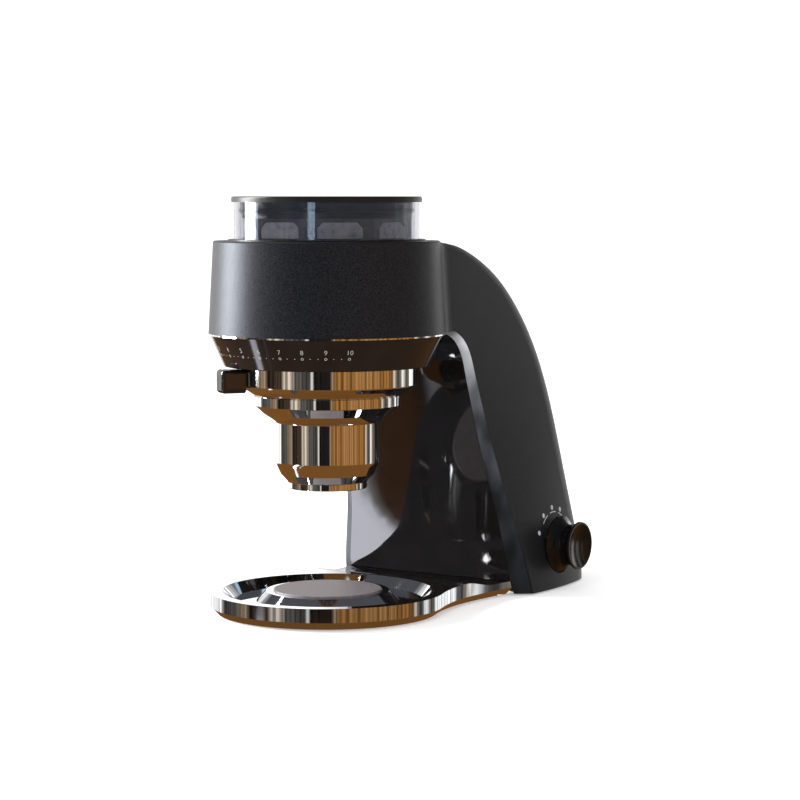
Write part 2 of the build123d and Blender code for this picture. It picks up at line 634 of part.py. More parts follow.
WEB_Z = (133.0, 136.4)
PIN_PLACES = [(31 * math.cos(math.radians(a)), 31 * math.sin(math.radians(a))) for a in (90, 210, 330)]
LEVER_DIR = (math.cos(math.radians(LEVER_ANGLE)), math.sin(math.radians(LEVER_ANGLE)))
LEVER_MID_Z = (LEVER_Z[0] + LEVER_Z[1]) / 2
ACROSS_LEVER = (-LEVER_DIR[1], LEVER_DIR[0], 0)
LEVER_PLANE = Plane(origin=(0, 0, LEVER_MID_Z), x_dir=ACROSS_LEVER, z_dir=(*LEVER_DIR, 0))
SCREW_PLANE = Plane(origin=(0, 0, LEVER_SCREW_Z), x_dir=ACROSS_LEVER, z_dir=(*LEVER_DIR, 0))
HEAD_SEAT_R = 43.0
SCREW_TIP_R = 57.0
with BuildPart() as grind_collar:
    revolved(
        [
            (SLEEVE_BORE_R, COLLAR_FOOT_Z),
            (RING2_R + 0.3, COLLAR_FOOT_Z),
            (COLLAR_R - 0.3, COLLAR_Z[0] - 0.3),
            (COLLAR_R, COLLAR_Z[0] + 0.3),
            (COLLAR_R, COLLAR_Z[1]),
            (COLLAR_R - 3, COLLAR_Z[1]),
            (COLLAR_R - 3, WEB_Z[1]),
            (27.5, WEB_Z[1]),
            (27.5, WEB_Z[0]),
            (SLEEVE_BORE_R, WEB_Z[0]),
        ]
    )
    with Locations(*[(x, y, WEB_Z[0]) for x, y in PIN_PLACES]):
        Cylinder(2.1, 20, mode=Mode.SUBTRACT)
    with BuildSketch(SCREW_PLANE.offset(SLEEVE_BORE_R - 2)):
        Circle(LEVER_SCREW_R[0] + 0.1)
    extrude(amount=HEAD_SEAT_R - SLEEVE_BORE_R + 2, mode=Mode.SUBTRACT)
    with BuildSketch(SCREW_PLANE.offset(HEAD_SEAT_R - 1)):
        Circle(LEVER_SCREW_R[1] + 0.15)
    extrude(amount=10, mode=Mode.SUBTRACT)
grind_collar.part.label = "grind_collar"
export_step(grind_collar.part, "parts/grind_collar.step")

with BuildPart() as adjust_lever:
    with BuildSketch(LEVER_PLANE.offset(46)):
        RectangleRounded(LEVER_W, LEVER_Z[1] - LEVER_Z[0], 2.5)
    extrude(amount=LEVER_R - 46)
    outwards = Axis(origin=(0, 0, LEVER_MID_Z), direction=(*LEVER_DIR, 0))
    fillet(adjust_lever.faces().sort_by(outwards)[-1].edges(), 2.2)
    cylinder_between(COLLAR_R + 0.02, 100, 150, mode=Mode.SUBTRACT)
    with BuildSketch(SCREW_PLANE.offset(46)):
        Circle(LEVER_SCREW_R[1] + SNUG)
    extrude(amount=SCREW_TIP_R + 0.5 - 46, mode=Mode.SUBTRACT)
adjust_lever.part.label = "adjust_lever"
export_step(adjust_lever.part, "parts/adjust_lever.step")

with BuildPart() as lever_screw:
    with BuildSketch(SCREW_PLANE.offset(SLEEVE_BORE_R + 0.5)):
        Circle(LEVER_SCREW_R[0])
    extrude(amount=HEAD_SEAT_R - SLEEVE_BORE_R - 0.5)
    with BuildSketch(SCREW_PLANE.offset(HEAD_SEAT_R - 0.5)):
        Circle(LEVER_SCREW_R[1])
    extrude(amount=SCREW_TIP_R - HEAD_SEAT_R + 0.5)
    with BuildSketch(SCREW_PLANE.offset(SLEEVE_BORE_R + 0.5)):
        RegularPolygon(1.1, 6)
    extrude(amount=1.3, mode=Mode.SUBTRACT)
lever_screw.part.label = "lever_screw"
export_step(lever_screw.part, "parts/lever_screw.step")

SLEEVE_R = SLEEVE_BORE_R - FIT
ORING_Z = (126.0, 128.4)
with BuildPart() as outlet_chute:
    revolved(
        [
            (36.4, 131.5),
            (SLEEVE_R, 131.5),
            (SLEEVE_R, ORING_Z[1]),
            (38.4, ORING_Z[1]),
            (38.4, ORING_Z[0]),
            (SLEEVE_R, ORING_Z[0]),
            (SLEEVE_R, RING2_Z[1]),
            (RING2_R, RING2_Z[1] - 0.4),
            (RING2_R, RING2_Z[0] + 0.3),
            (RING2_R - 0.5, RING2_Z[0]),
            (35.0, 110.8),
            (BELL_R, BELL_Z[1]),
            (BELL_R, BELL_Z[0]),
            (25.8, 77.5),
            (LIP_R + 0.2, LIP_Z[1]),
            (LIP_R, LIP_Z[1] - 0.4),
            (LIP_R, LIP_Z[0] + 0.4),
            (LIP_R - 0.4, LIP_Z[0]),
            (19.9, LIP_Z[0]),
            (19.9, 74.2),
            (23.4, 78.6),
            (26.2, 84.3),
            (26.2, 107.2),
            (32.8, 112.2),
            (36.4, 117.0),
        ]
    )
    rims = outlet_chute.edges().filter_by(GeomType.CIRCLE)
    fillet(rims.filter_by(lambda e: abs(e.radius - BELL_R) < 0.05 and e.center().Z < BELL_Z[0] + 1), 5.0)
    rims = outlet_chute.edges().filter_by(GeomType.CIRCLE)
    fillet(rims.filter_by(lambda e: abs(e.radius - BELL_R) < 0.05 and e.center().Z > BELL_Z[1] - 1), 1.0)
outlet_chute.part.label = "outlet_chute"
export_step(outlet_chute.part, "parts/outlet_chute.step")

with BuildPart() as chute_oring:
    revolved([(38.4, 126.1), (SLEEVE_R, 126.1), (SLEEVE_R + 0.05, 127.2), (SLEEVE_R, 128.3), (38.4, 128.3)])
chute_oring.part.label = "chute_oring"
export_step(chute_oring.part, "parts/chute_oring.step")

# ------------------------------------------------------------ burrs and their carrier
with BuildPart() as burr_carrier:
    revolved(
        [
            (24.4, 137.2),
            (SKIRT_R[0] - FIT, 137.2),
            (SKIRT_R[0] - FIT, 157.0),
            (27.7, 157.0),
            (27.7, 139.4),
            (24.4, 139.4),
        ]
    )
    with Locations(*[(x, y, 137.2) for x, y in PIN_PLACES]):
        Cylinder(2.0, 3.4, align=(Align.CENTER, Align.CENTER, Align.MAX))
burr_carrier.part.label = "burr_carrier"
export_step(burr_carrier.part, "parts/burr_carrier.step")

CONE_R = (12.0, 19.0)
CONE_Z = (138.0, 156.0)
BURR_GAP = 0.7
with BuildPart() as ring_burr:
    revolved(
        [
            (CONE_R[1] + 1.2, 139.4),
            (27.68, 139.4),
            (27.68, 156.5),
            (25.8, 156.5),
            (CONE_R[1] + BURR_GAP, 142.5),
        ]
    )
    for k in range(24):
        with Locations(Location((0, 0, 0), (0, 0, 15 * k))):
            with Locations(Location((26.2, 0, 156.8), (0, -26.5, 12))):
                Box(1.3, 1.3, 26, align=(Align.CENTER, Align.CENTER, Align.MAX), mode=Mode.SUBTRACT)
ring_burr.part.label = "ring_burr"
export_step(ring_burr.part, "parts/ring_burr.step")

with BuildPart() as cone_burr:
    revolved(
        [
            (SPINDLE_R + SNUG, CONE_Z[0]),
            (CONE_R[1] - 1.0, CONE_Z[0]),
            (CONE_R[1], CONE_Z[0] + 3),
            (CONE_R[0], CONE_Z[1]),
            (SPINDLE_R + SNUG, CONE_Z[1]),
        ]
    )
    for k in range(12):
        with Locations(Location((0, 0, 0), (0, 0, 30 * k))):
            with Locations(Location((CONE_R[0] + 0.6, 0, CONE_Z[1] + 1), (0, -24.5, -14))):
                Box(2.4, 2.4, 16, align=(Align.CENTER, Align.CENTER, Align.MAX), mode=Mode.SUBTRACT)
cone_burr.part.label = "cone_burr"
export_step(cone_burr.part, "parts/cone_burr.step")

BEARINGS_Z = ((157.2, 162.0), (170.2, 175.0))
with BuildPart() as burr_spindle:
    cylinder_between(SPINDLE_R, 130.0, 176.0)
burr_spindle.part.label = "burr_spindle"
export_step(burr_spindle.part, "parts/burr_spindle.step")

with BuildPart() as spindle_nut:
    with BuildSketch(Plane.XY.offset(131.5)):
        RegularPolygon(7.5, 6)
    extrude(amount=5.3)
    cylinder_between(9.5, 136.8, 138.0)
    cylinder_between(SPINDLE_R + SNUG, 120, 145, mode=Mode.SUBTRACT)
spindle_nut.part.label = "spindle_nut"
export_step(spindle_nut.part, "parts/spindle_nut.step")

# ------------------------------------------------------------ gear train and motor
BOSS_R = 10.5
COVER_BOLTS = [(30.4, -25.5), (-30.4, -25.5), (30.5, 47.0), (-30.5, 47.0)]
MOTOR_BOLTS = [(11.7, MOTOR_Y - 4.3), (-11.7, MOTOR_Y - 4.3)]
BEAN_WINDOW = (12.5, 23.0)
IDLER_PIN_R = 3.0

with BuildPart() as gear_housing:
    prism(gearbox_outline(0), FLOOR_Z[0], COVER_Z[0])
    prism(gearbox_outline(2.5), *FLOOR_Z)
    with Locations(*[(x, y, FLOOR_Z[0]) for x, y in LUGS]):
        Cylinder(4.4, 4, align=(Align.CENTER, Align.CENTER, Align.MIN))
    prism(gearbox_outline(-2.2), FLOOR_Z[1], COVER_Z[0] + 1, mode=Mode.SUBTRACT)
    with Locations(*[(x, y, FLOOR_Z[0]) for x, y in COVER_BOLTS]):
        Cylinder(3.4, COVER_Z[0] - FLOOR_Z[0], align=(Align.CENTER, Align.CENTER, Align.MIN))
    cylinder_between(35.3, FLOOR_Z[1], COVER_Z[0] + 1, mode=Mode.SUBTRACT)
    with Locations((0, IDLER_Y, FLOOR_Z[1])):
        Cylinder(27.3, 20, align=(Align.CENTER, Align.CENTER, Align.MIN), mode=Mode.SUBTRACT)
    prism(ring_openings(*BEAN_WINDOW, 3, 4.0), FLOOR_Z[0] - 1, FLOOR_Z[1] + 1, mode=Mode.SUBTRACT)
    # skirt in which the burr carrier turns, and the spindle's lower bearing seat
    cylinder_between(SKIRT_R[1], 143.5, FLOOR_Z[0] + 0.5)
    cylinder_between(SKIRT_R[0], 140, FLOOR_Z[0], mode=Mode.SUBTRACT)
    cylinder_between(BOSS_R, BEARINGS_Z[0][0], FLOOR_Z[1])
    cylinder_between(BEARING_R, 150, FLOOR_Z[1] + 1, mode=Mode.SUBTRACT)
    with Locations((0, IDLER_Y, 150)):
        Cylinder(IDLER_PIN_R, 30, align=(Align.CENTER, Align.CENTER, Align.MIN), mode=Mode.SUBTRACT)
    with Locations((0, MOTOR_Y, 150)):
        Cylinder(5.0, 30, align=(Align.CENTER, Align.CENTER, Align.MIN), mode=Mode.SUBTRACT)
    with Locations(*[(x, y, 150) for x, y in MOTOR_BOLTS]):
        Cylinder(1.6, 30, align=(Align.CENTER, Align.CENTER, Align.MIN), mode=Mode.SUBTRACT)
    with Locations(*[(x, y, COVER_Z[0]) for x, y in COVER_BOLTS]):
        Cylinder(1.27, 9.2, align=(Align.CENTER, Align.CENTER, Align.MAX), mode=Mode.SUBTRACT)
    with Locations(*[(x, y, 150) for x, y in LUGS]):
        Cylinder(1.6, 30, align=(Align.CENTER, Align.CENTER, Align.MIN), mode=Mode.SUBTRACT)
gear_housing.part.label = "gear_housing"
export_step(gear_housing.part, "parts/gear_housing.step")

with BuildPart() as gear_cover:
    prism(gearbox_outline(0), *COVER_Z)
    with Locations(*[(x, y, COVER_Z[0]) for x, y in COVER_BOLTS]):
        Cylinder(3.4, COVER_Z[1] - COVER_Z[0], align=(Align.CENTER, Align.CENTER, Align.MIN))
    prism(ring_openings(*BEAN_WINDOW, 3, 4.0), COVER_Z[0] - 1, COVER_Z[1] + 1, mode=Mode.SUBTRACT)
    cylinder_between(BOSS_R, *BEARINGS_Z[1])
    cylinder_between(BEARING_R, 165, 180, mode=Mode.SUBTRACT)
    with Locations(*[(x, y, COVER_Z[0]) for x, y in COVER_BOLTS]):
        Cylinder(1.6, 20, mode=Mode.SUBTRACT)
    with Locations((0, IDLER_Y, COVER_Z[0])):
        Cylinder(IDLER_PIN_R, 20, mode=Mode.SUBTRACT)
gear_cover.part.label = "gear_cover"
export_step(gear_cover.part, "parts/gear_cover.step")

with BuildPart() as spindle_bearings:
    for low, high in BEARINGS_Z:
        revolved(
            [
                (SPINDLE_R + FIT / 2, low + 0.1),
                (BEARING_R - SNUG, low + 0.1),
                (BEARING_R - SNUG, high),
                (SPINDLE_R + FIT / 2, high),
            ]
        )
spindle_bearings.part.label = "spindle_bearings"
export_step(spindle_bearings.part, "parts/spindle_bearings.step")

with BuildPart() as driven_gear:
    prism(gear_sketch(TEETH["driven"], MODULE, 0), *GEAR_Z)
    # raised collar, which keeps the beans out of the teeth as they fall between the spokes
    cylinder_between(27.0, FLOOR_Z[1] + 0.3, COVER_Z[0] - 0.3)
    prism(ring_openings(9.5, 24.2, 4, 6.0), 150, 180, mode=Mode.SUBTRACT)
    cylinder_between(24.2, 150, GEAR_Z[0], mode=Mode.SUBTRACT)
    cylinder_between(24.2, GEAR_Z[1], 180, mode=Mode.SUBTRACT)
    cylinder_between(SPINDLE_R + SNUG, 150, 180, mode=Mode.SUBTRACT)
driven_gear.part.label = "driven_gear"
export_step(driven_gear.part, "parts/driven_gear.step")

with BuildPart() as idler_gear:
    idler_plan = gear_sketch(TEETH["idler"], MODULE, 180 / TEETH["idler"])
    prism(idler_plan.moved(Location((0, IDLER_Y, 0))), *GEAR_Z)
    with Locations((0, IDLER_Y, GEAR_Z[0] + 1.6)):
        for k in range(6):
            with Locations(Location((0, 0, 0), (0, 0, 60 * k + 30))):
                with Locations((14.5, 0, 0)):
                    Cylinder(5.0, 20, mode=Mode.SUBTRACT)
    with Locations((0, IDLER_Y, 150)):
        Cylinder(IDLER_PIN_R + 0.06, 40, align=(Align.CENTER, Align.CENTER, Align.MIN), mode=Mode.SUBTRACT)
idler_gear.part.label = "idler_gear"
export_step(idler_gear.part, "parts/idler_gear.step")

with BuildPart() as idler_shaft:
    with Locations((0, IDLER_Y, FLOOR_Z[0])):
        Cylinder(IDLER_PIN_R - SNUG, COVER_Z[1] - FLOOR_Z[0], align=(Align.CENTER, Align.CENTER, Align.MIN))
idler_shaft.part.label = "idler_shaft"
export_step(idler_shaft.part, "parts/idler_shaft.step")

SHAFT_R = 2.5
with BuildPart() as motor_pinion:
    pinion_plan = gear_sketch(TEETH["pinion"], MODULE, -90)
    prism(pinion_plan.moved(Location((0, MOTOR_Y, 0))), *GEAR_Z)
    with Locations((0, MOTOR_Y, 150)):
        Cylinder(SHAFT_R + SNUG, 40, align=(Align.CENTER, Align.CENTER, Align.MIN), mode=Mode.SUBTRACT)
motor_pinion.part.label = "motor_pinion"
export_step(motor_pinion.part, "parts/motor_pinion.step")

with BuildPart() as motor_shaft:
    with Locations((0, MOTOR_Y, MOTOR_Z[0] + 4)):
        Cylinder(SHAFT_R, GEAR_Z[1] - MOTOR_Z[0] - 4, align=(Align.CENTER, Align.CENTER, Align.MIN))
motor_shaft.part.label = "motor_shaft"
export_step(motor_shaft.part, "parts/motor_shaft.step")

with BuildPart() as motor:
    with Locations((0, MOTOR_Y, MOTOR_Z[0])):
        Cylinder(MOTOR_R, MOTOR_Z[1] - MOTOR_Z[0], align=(Align.CENTER, Align.CENTER, Align.MIN))
    fillet(motor.edges(), 1.5)
    with Locations((0, MOTOR_Y, MOTOR_Z[0] + 2)):
        Cylinder(SHAFT_R + 0.07, 50, align=(Align.CENTER, Align.CENTER, Align.MIN), mode=Mode.SUBTRACT)
    with Locations((0, MOTOR_Y, (MOTOR_Z[0] + MOTOR_Z[1]) / 2)):
        with PolarLocations(MOTOR_R, 10, start_angle=18):
            Box(3, 2.2, 18, mode=Mode.SUBTRACT)
    with Locations(*[(x, y, MOTOR_Z[1]) for x, y in MOTOR_BOLTS]):
        Cylinder(1.27, 12, mode=Mode.SUBTRACT)
motor.part.label = "motor"
export_step(motor.part, "parts/motor.step")

with BuildPart() as motor_screws:
    screw_group(MOTOR_BOLTS, FLOOR_Z[1], 2.6, 1.0, 1.25, 9.5, up=True)
motor_screws.part.label = "motor_screws"
export_step(motor_screws.part, "parts/motor_screws.step")

with BuildPart() as gear_cover_screws:
    screw_group(COVER_BOLTS, COVER_Z[1], 2.7, 1.6, 1.25, 10.0, up=True)
gear_cover_screws.part.label = "gear_cover_screws"
export_step(gear_cover_screws.part, "parts/gear_cover_screws.step")

with BuildPart() as gearbox_screws:
    screw_group(LUGS, FLOOR_Z[1], 2.8, 1.8, 1.55, 6.9, up=True)
gearbox_screws.part.label = "gearbox_screws"
export_step(gearbox_screws.part, "parts/gearbox_screws.step")

with BuildPart() as dial_screws:
    screw_group(DIAL_BOLTS, HEAD_Z[0] + WALL, 2.7, 1.6, DIAL_SCREW_R, 6.4, up=True)
dial_screws.part.label = "dial_screws"
export_step(dial_screws.part, "parts/dial_screws.step")

with BuildPart() as cover_screws:
    screw_group(COVER_SCREWS, BASE_Z + 0.9, 2.3, 0.8, COVER_SCREW_R, 3.4, up=False)
cover_screws.part.label = "cover_screws"
export_step(cover_screws.part, "parts/cover_screws.step")

with BuildPart() as housing_screws:
    screw_group(HOUSING_BOSSES, BASE_Z + 1.4, 3.0, 1.3, 1.55, 10.0, up=False)
housing_screws.part.label = "housing_screws"
export_step(housing_screws.part, "parts/housing_screws.step")

# ------------------------------------------------------------ electrics
with BuildPart() as power_supply:
    box_between((-34, 110, 10.5), (34, 134, 46))
    fillet(power_supply.edges().filter_by(Axis.Z), 1.5)
    with Locations((0, 122, 46)):
        with GridLocations(8, 0, 6, 1):
            Box(3, 16, 1.6, mode=Mode.SUBTRACT)
power_supply.part.label = "power_supply"
export_step(power_supply.part, "parts/power_supply.step")

with BuildPart() as circuit_board:
    box_between((-34, 158, 10.5), (34, 159.6, 92))
    box_between((-12, 148, 48), (12, 158, 62))
    for x, z, radius in ((-22, 30, 6), (-22, 48, 6), (20, 30, 5)):
        with Locations(Location((x, 158, z), (90, 0, 0))):
            Cylinder(radius, 14, align=(Align.CENTER, Align.CENTER, Align.MIN))
    box_between((8, 150, 72), (28, 158, 84))
    box_between((-30, 148, 70), (-12, 158, 86))
circuit_board.part.label = "circuit_board"
export_step(circuit_board.part, "parts/circuit_board.step")

with BuildPart() as selector_switch:
    box_between((41, KNOB_Y - 9, KNOB_Z - 9), (54, KNOB_Y + 9, KNOB_Z + 9))
    with Locations(Location((54, KNOB_Y, KNOB_Z), (0, 90, 0))):
        Cylinder(4.5, 10.5, align=(Align.CENTER, Align.CENTER, Align.MIN))
    with Locations(Location((44, KNOB_Y, KNOB_Z), (0, 90, 0))):
        Cylinder(3.07, 30, align=(Align.CENTER, Align.CENTER, Align.MIN), mode=Mode.SUBTRACT)
selector_switch.part.label = "selector_switch"
export_step(selector_switch.part, "parts/selector_switch.step")

with BuildPart() as knob_shaft:
    with Locations(Location((46, KNOB_Y, KNOB_Z), (0, 90, 0))):
        Cylinder(3.0, 26, align=(Align.CENTER, Align.CENTER, Align.MIN))
knob_shaft.part.label = "knob_shaft"
export_step(knob_shaft.part, "parts/knob_shaft.step")

KNOB_FACE_X = 77.5
DISH_R = 12.7
DISH_X = KNOB_FACE_X - 2.6
DISH_CURVE = ((KNOB_FACE_X - DISH_X) ** 2 + DISH_R**2) / (2 * (KNOB_FACE_X - DISH_X))
with BuildPart() as timer_knob:
    with BuildSketch(Plane.XY.offset(KNOB_Z)):
        with BuildLine():
            Polyline((KNOB_X + 3.2, KNOB_Y), (KNOB_X + 3.2, KNOB_Y + 6.2), (KNOB_X + 0.6, KNOB_Y + 6.2))
            Line((KNOB_X + 0.6, KNOB_Y + 6.2), (KNOB_X + 0.6, KNOB_Y + 16.5))
            Line((KNOB_X + 0.6, KNOB_Y + 16.5), (KNOB_X + 1.6, KNOB_Y + 16.5))
            ThreePointArc(
                (KNOB_X + 1.6, KNOB_Y + 16.5),
                (KNOB_X + 6.2, KNOB_Y + 12.3),
                (KNOB_FACE_X - 1.2, KNOB_Y + 14.0),
            )
            Line((KNOB_FACE_X - 1.2, KNOB_Y + 14.0), (KNOB_FACE_X, KNOB_Y + 13.7))
            Line((KNOB_FACE_X, KNOB_Y + 13.7), (KNOB_FACE_X, KNOB_Y + DISH_R))
            ThreePointArc(
                (KNOB_FACE_X, KNOB_Y + DISH_R),
                (DISH_X + DISH_CURVE - math.sqrt(DISH_CURVE**2 - DISH_R**2 / 4), KNOB_Y + DISH_R / 2),
                (DISH_X, KNOB_Y),
            )
            Line((DISH_X, KNOB_Y), (KNOB_X + 3.2, KNOB_Y))
        make_face()
    revolve(axis=Axis(origin=(0, KNOB_Y, KNOB_Z), direction=(1, 0, 0)))
    with Locations(Location((KNOB_X, KNOB_Y, KNOB_Z), (0, 90, 0))):
        Cylinder(3.0 + SNUG, 9.5, align=(Align.CENTER, Align.CENTER, Align.MIN), mode=Mode.SUBTRACT)
timer_knob.part.label = "timer_knob"
export_step(timer_knob.part, "parts/timer_knob.step")

with BuildPart() as switch_nut:
    with Locations(Location((KNOB_X + 0.9, KNOB_Y, KNOB_Z), (0, 90, 0))):
        Cylinder(5.9, 1.9, align=(Align.CENTER, Align.CENTER, Align.MIN))
        Cylinder(4.5 + SNUG, 10, mode=Mode.SUBTRACT)
switch_nut.part.label = "switch_nut"
export_step(switch_nut.part, "parts/switch_nut.step")

with BuildPart() as power_inlet:
    with Locations(Location((0, 199.6, INLET_Z), (11, 0, 0))):
        Box(34, 4.0, 26)
    add(outer_body.part, mode=Mode.SUBTRACT)
    box_between((-14, 178, INLET_Z - 10), (14, 200.0, INLET_Z + 10))
    with Locations((0, 199, INLET_Z)):
        Box(22, 30, 13, mode=Mode.SUBTRACT)
    with Locations((-5, 185, INLET_Z), (5, 185, INLET_Z)):
        Box(2.2, 16, 5)
power_inlet.part.label = "power_inlet"
export_step(power_inlet.part, "parts/power_inlet.step")

with BuildPart() as hopper_sensor:
    box_between((26.6, -4, COVER_Z[1]), (37, 4, COVER_Z[1] + 9))
    fillet(hopper_sensor.edges().filter_by(Axis.Z), 0.8)
hopper_sensor.part.label = "hopper_sensor"
export_step(hopper_sensor.part, "parts/hopper_sensor.step")
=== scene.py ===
"""Looks of the burr coffee grinder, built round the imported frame. Metres, +Z up, front to -Y."""

import json
import math

import bpy
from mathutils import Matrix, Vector
from mathutils.bvhtree import BVHTree


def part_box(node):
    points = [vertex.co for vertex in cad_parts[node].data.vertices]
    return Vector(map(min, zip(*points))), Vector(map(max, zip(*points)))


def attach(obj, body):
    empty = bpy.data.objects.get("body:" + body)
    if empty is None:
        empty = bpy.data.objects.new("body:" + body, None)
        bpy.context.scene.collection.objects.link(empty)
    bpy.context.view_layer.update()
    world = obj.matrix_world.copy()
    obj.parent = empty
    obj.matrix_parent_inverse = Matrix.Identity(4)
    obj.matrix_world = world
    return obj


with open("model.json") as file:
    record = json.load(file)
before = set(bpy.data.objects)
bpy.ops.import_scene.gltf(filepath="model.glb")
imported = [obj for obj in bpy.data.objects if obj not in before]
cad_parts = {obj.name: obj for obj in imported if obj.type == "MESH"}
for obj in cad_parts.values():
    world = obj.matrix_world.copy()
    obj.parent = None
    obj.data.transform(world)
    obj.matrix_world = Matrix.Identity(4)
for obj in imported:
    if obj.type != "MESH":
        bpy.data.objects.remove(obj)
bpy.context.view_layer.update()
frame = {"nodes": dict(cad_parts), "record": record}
NODES = frame["nodes"]
MM = 0.001


# ------------------------------------------------------------ material helpers
def new_material(name, **values):
    """Principled material; the values are set on the shader's own sockets."""
    material = bpy.data.materials.new(name)
    material.use_nodes = True
    shader = material.node_tree.nodes["Principled BSDF"]
    for key, value in values.items():
        shader.inputs[key.replace("_", " ")].default_value = value
    return material, material.node_tree, shader


def node(tree, kind, **settings):
    made = tree.nodes.new(kind)
    for key, value in settings.items():
        setattr(made, key, value)
    return made


def noise(tree, scale, detail=3.0, stretch=(1, 1, 1), rough=0.55):
    """Noise in object coordinates, scale in cycles per metre."""
    coords = node(tree, "ShaderNodeTexCoord")
    mapping = node(tree, "ShaderNodeMapping")
    mapping.inputs["Scale"].default_value = stretch
    made = node(tree, "ShaderNodeTexNoise")
    made.inputs["Scale"].default_value = scale
    made.inputs["Detail"].default_value = detail
    made.inputs["Roughness"].default_value = rough
    tree.links.new(coords.outputs["Object"], mapping.inputs["Vector"])
    tree.links.new(mapping.outputs["Vector"], made.inputs["Vector"])
    return made.outputs["Fac"]


def ramp(tree, value, stops):
    """Colour ramp with stops of (place, grey or colour)."""
    made = node(tree, "ShaderNodeValToRGB")
    elements = made.color_ramp.elements
    while len(elements) < len(stops):
        elements.new(0.5)
    for element, (place, colour) in zip(elements, stops):
        element.position = place
        rgb = colour if isinstance(colour, tuple) else (colour, colour, colour)
        element.color = (*rgb, 1)
    tree.links.new(value, made.inputs["Fac"])
    return made.outputs["Color"]


def bump(tree, shader, height, strength, distance):
    made = node(tree, "ShaderNodeBump")
    made.inputs["Strength"].default_value = strength
    made.inputs["Distance"].default_value = distance
    tree.links.new(height, made.inputs["Height"])
    tree.links.new(made.outputs["Normal"], shader.inputs["Normal"])


def surface(name, colour, colour_to, rough, rough_to, scale, bump_mm=0.0, bump_scale=None, **values):
    """Common surface: colour and roughness vary between two values, with an optional fine bump."""
    material, tree, shader = new_material(name, **values)
    blotch = noise(tree, scale)
    tree.links.new(ramp(tree, blotch, [(0.3, colour), (0.7, colour_to)]), shader.inputs["Base Color"])
    tree.links.new(ramp(tree, blotch, [(0.3, rough), (0.7, rough_to)]), shader.inputs["Roughness"])
    if bump_mm:
        grain = noise(tree, bump_scale or scale, detail=2.0)
        bump(tree, shader, grain, 1.0, bump_mm * MM)
    return material


# ------------------------------------------------------------ materials
# colour from and to, roughness from and to, blotches per metre, height of the grain in mm, grains per metre
SURFACES = {
    "powder_coat": ((0.003, 0.003, 0.0036), (0.016, 0.016, 0.0185), 0.34, 0.44, 1300, 0.085, 1450),
    "gloss_black": ((0.004, 0.0035, 0.0035), (0.006, 0.005, 0.005), 0.03, 0.06, 60),
    "chrome": ((0.80, 0.79, 0.77), (0.86, 0.85, 0.83), 0.03, 0.06, 90),
    "funnel_grey": ((0.05, 0.05, 0.053), (0.08, 0.08, 0.085), 0.18, 0.28, 300),
    "satin_black": ((0.006, 0.006, 0.006), (0.012, 0.012, 0.012), 0.3, 0.42, 900, 0.01, 1500),
    "rubber_black": ((0.015, 0.015, 0.015), (0.03, 0.03, 0.03), 0.7, 0.85, 700, 0.03, 900),
    "mat_rubber": ((0.10, 0.085, 0.09), (0.15, 0.13, 0.135), 0.42, 0.55, 500, 0.02, 1200),
    "seal_rubber": ((0.02, 0.02, 0.02), (0.03, 0.03, 0.03), 0.6, 0.7, 400),
    "dial_print": ((0.008, 0.0065, 0.006), (0.012, 0.01, 0.009), 0.04, 0.07, 60),
    "burr_steel": ((0.5, 0.5, 0.5), (0.6, 0.6, 0.6), 0.25, 0.4, 400, 0.01, 900),
    "shaft_steel": ((0.55, 0.55, 0.55), (0.65, 0.65, 0.65), 0.15, 0.3, 300),
    "zinc_screw": ((0.5, 0.5, 0.48), (0.62, 0.62, 0.6), 0.2, 0.35, 500),
    "acetal": ((0.72, 0.71, 0.66), (0.78, 0.77, 0.73), 0.4, 0.5, 200),
    "glass_nylon": ((0.03, 0.03, 0.03), (0.06, 0.06, 0.06), 0.5, 0.65, 600, 0.02, 800),
    "motor_can": ((0.35, 0.35, 0.35), (0.45, 0.45, 0.45), 0.3, 0.4, 250),
    "pinion_brass": ((0.6, 0.43, 0.18), (0.7, 0.52, 0.25), 0.2, 0.35, 300),
    "board_green": ((0.01, 0.10, 0.03), (0.02, 0.14, 0.045), 0.3, 0.4, 300),
    "supply_black": ((0.03, 0.03, 0.03), (0.05, 0.05, 0.05), 0.5, 0.6, 200),
    "ballast_iron": ((0.12, 0.12, 0.12), (0.2, 0.2, 0.2), 0.5, 0.65, 250, 0.03, 500),
}
METALS = ("chrome", "burr_steel", "shaft_steel", "zinc_screw", "motor_can", "pinion_brass")
# values set on the shader's own sockets
UNIFORM = {
    "powder_coat": {"Specular_IOR_Level": 0.30, "Specular_Tint": (0.68, 0.80, 1.0, 1)},
    "gloss_black": {"IOR": 1.8},
    "satin_black": {"Specular_IOR_Level": 0.32},
}
UNIFORM.update({metal: {"Metallic": 1.0} for metal in METALS})
MATERIALS = {name: surface(name, *values, **UNIFORM.get(name, {})) for name, values in SURFACES.items()}


STRIP_REFLECTION_TOP = 0.16  # height at which the strip's painted reflection ends
# painted reflection: the strip's base colour runs from dark low down to pale near the top, standing in for
# the room reflected in it
STRIP_PAINTED_REFLECTION = [
    (0.0, (0.010, 0.010, 0.013)),
    (0.30, (0.022, 0.022, 0.028)),
    (0.50, (0.050, 0.050, 0.060)),
    (0.66, (0.08, 0.08, 0.092)),
    (0.80, (0.17, 0.17, 0.185)),
    (0.92, (0.50, 0.50, 0.52)),
    (1.0, (0.34, 0.34, 0.36)),
]
# painted reflection: light and dark wavy bands multiplied into the strip's colour
STRIP_PAINTED_WAVES = [(0.38, 0.35), (0.5, 0.8), (0.62, 1.3)]


